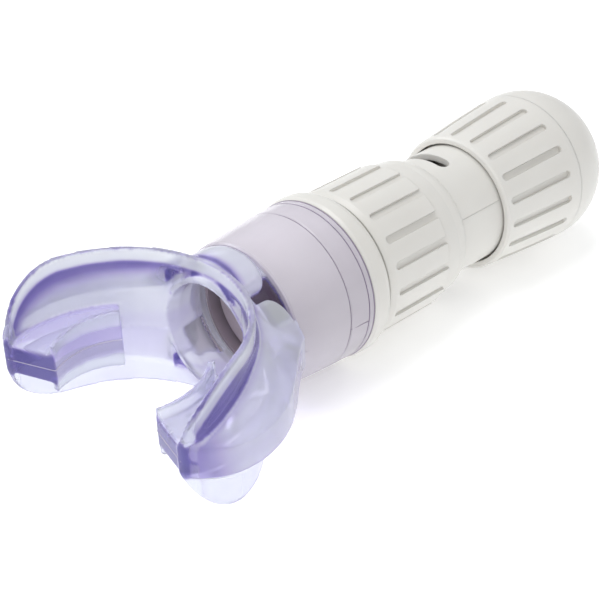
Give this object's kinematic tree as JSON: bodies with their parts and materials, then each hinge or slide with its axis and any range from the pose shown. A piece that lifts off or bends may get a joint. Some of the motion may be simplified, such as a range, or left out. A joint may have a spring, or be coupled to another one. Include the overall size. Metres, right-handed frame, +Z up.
{
  "type": "breathing trainer",
  "caption": "Hand-held breathing trainer with a clear bite mouthpiece, a clear housing, a white barrel, a ribbed control ring and a ribbed domed end knob.",
  "frame": {"origin": "on the table, under the middle of the trainer's length, when it lies level on its end knob and collar", "axes": "+X along the body axis from the mouthpiece to the domed end, +Y to the user's side, +Z up"},
  "size_m": [0.1844, 0.0824, 0.045],
  "materials": {
    "clear_violet_plastic": "clear moulded plastic with a violet tint that gathers at its edges",
    "clear_milky_plastic": "clear moulded plastic, faintly lilac, over the white spigot",
    "white_plastic": "white moulded plastic, satin",
    "grey_plastic": "grey moulded plastic",
    "silicone_rubber": "soft silicone",
    "spring_steel": "bright drawn wire"
  },
  "bodies": {
    "body": {"front_housing": "clear_milky_plastic", "housing_seal": "silicone_rubber", "valve_body": "white_plastic", "valve_seat": "grey_plastic", "guide_tube": "white_plastic", "stem_guide": "grey_plastic", "barrel": "white_plastic", "control_ring_clip": "spring_steel", "control_ring_seal": "silicone_rubber", "end_knob_clip": "spring_steel", "end_knob_seal": "silicone_rubber", "inhale_spring": "spring_steel", "exhale_spring": "spring_steel"},
    "neck_seal": {"neck_seal": "silicone_rubber"},
    "mouthpiece": {"mouthpiece": "clear_violet_plastic"},
    "control_ring": {"exhale_control_ring": "white_plastic"},
    "exhale_spring_carrier": {"exhale_spring_carrier": "grey_plastic"},
    "exhale_valve": {"exhale_valve_seal": "silicone_rubber", "exhale_valve_plate": "grey_plastic"},
    "inhale_valve": {"inhale_valve_disc": "grey_plastic", "inhale_valve_seal": "silicone_rubber", "inhale_stem": "grey_plastic"},
    "inhale_spring_cap": {"inhale_spring_cap": "grey_plastic"},
    "inhale_adjusting_nut": {"inhale_adjusting_nut": "grey_plastic"},
    "end_knob": {"end_knob": "white_plastic", "end_knob_cap": "white_plastic"}
  },
  "joints": [
    {"name": "mouthpiece_pull", "type": "slide", "parent": "body", "child": "neck_seal", "axis": [-1, 0, 0], "range_m": [0, 0.012]},
    {"name": "mouthpiece_turn", "type": "hinge", "parent": "neck_seal", "child": "mouthpiece", "pos_m": [0, 0, 0.0225], "axis": [1, 0, 0], "continuous": true},
    {"name": "control_ring_turn", "type": "hinge", "parent": "body", "child": "control_ring", "pos_m": [0, 0, 0.0225], "axis": [1, 0, 0], "range_deg": [0, 300]},
    {"name": "exhale_carrier_travel", "type": "slide", "parent": "body", "child": "exhale_spring_carrier", "axis": [-1, 0, 0], "range_m": [0, 0.0081], "deforming": ["exhale_spring"]},
    {"name": "exhale_valve_open", "type": "slide", "parent": "body", "child": "exhale_valve", "axis": [1, 0, 0], "range_m": [0, 0.004], "stiffness_N_per_m": 150, "springref_m": -0.006, "deforming": ["exhale_spring"]},
    {"name": "inhale_valve_open", "type": "slide", "parent": "body", "child": "inhale_valve", "axis": [-1, 0, 0], "range_m": [0, 0.004], "stiffness_N_per_m": 150, "springref_m": -0.006, "deforming": ["inhale_spring"]},
    {"name": "inhale_cap_travel", "type": "slide", "parent": "inhale_valve", "child": "inhale_spring_cap", "axis": [-1, 0, 0], "range_m": [0, 0.0081], "deforming": ["inhale_spring"]},
    {"name": "adjusting_nut_turn", "type": "hinge", "parent": "inhale_spring_cap", "child": "inhale_adjusting_nut", "pos_m": [0, 0, 0.0225], "axis": [-1, 0, 0], "range_deg": [0, 720]},
    {"name": "end_knob_turn", "type": "hinge", "parent": "body", "child": "end_knob", "pos_m": [0, 0, 0.0225], "axis": [-1, 0, 0], "range_deg": [0, 720]}
  ],
  "couplings": [
    {"joint": "exhale_carrier_travel", "follows": "control_ring_turn", "m_per_rad": 0.0015279},
    {"joint": "inhale_cap_travel", "follows": "end_knob_turn", "m_per_rad": 0.00063662},
    {"joint": "adjusting_nut_turn", "follows": "end_knob_turn", "ratio": 1}
  ]
}
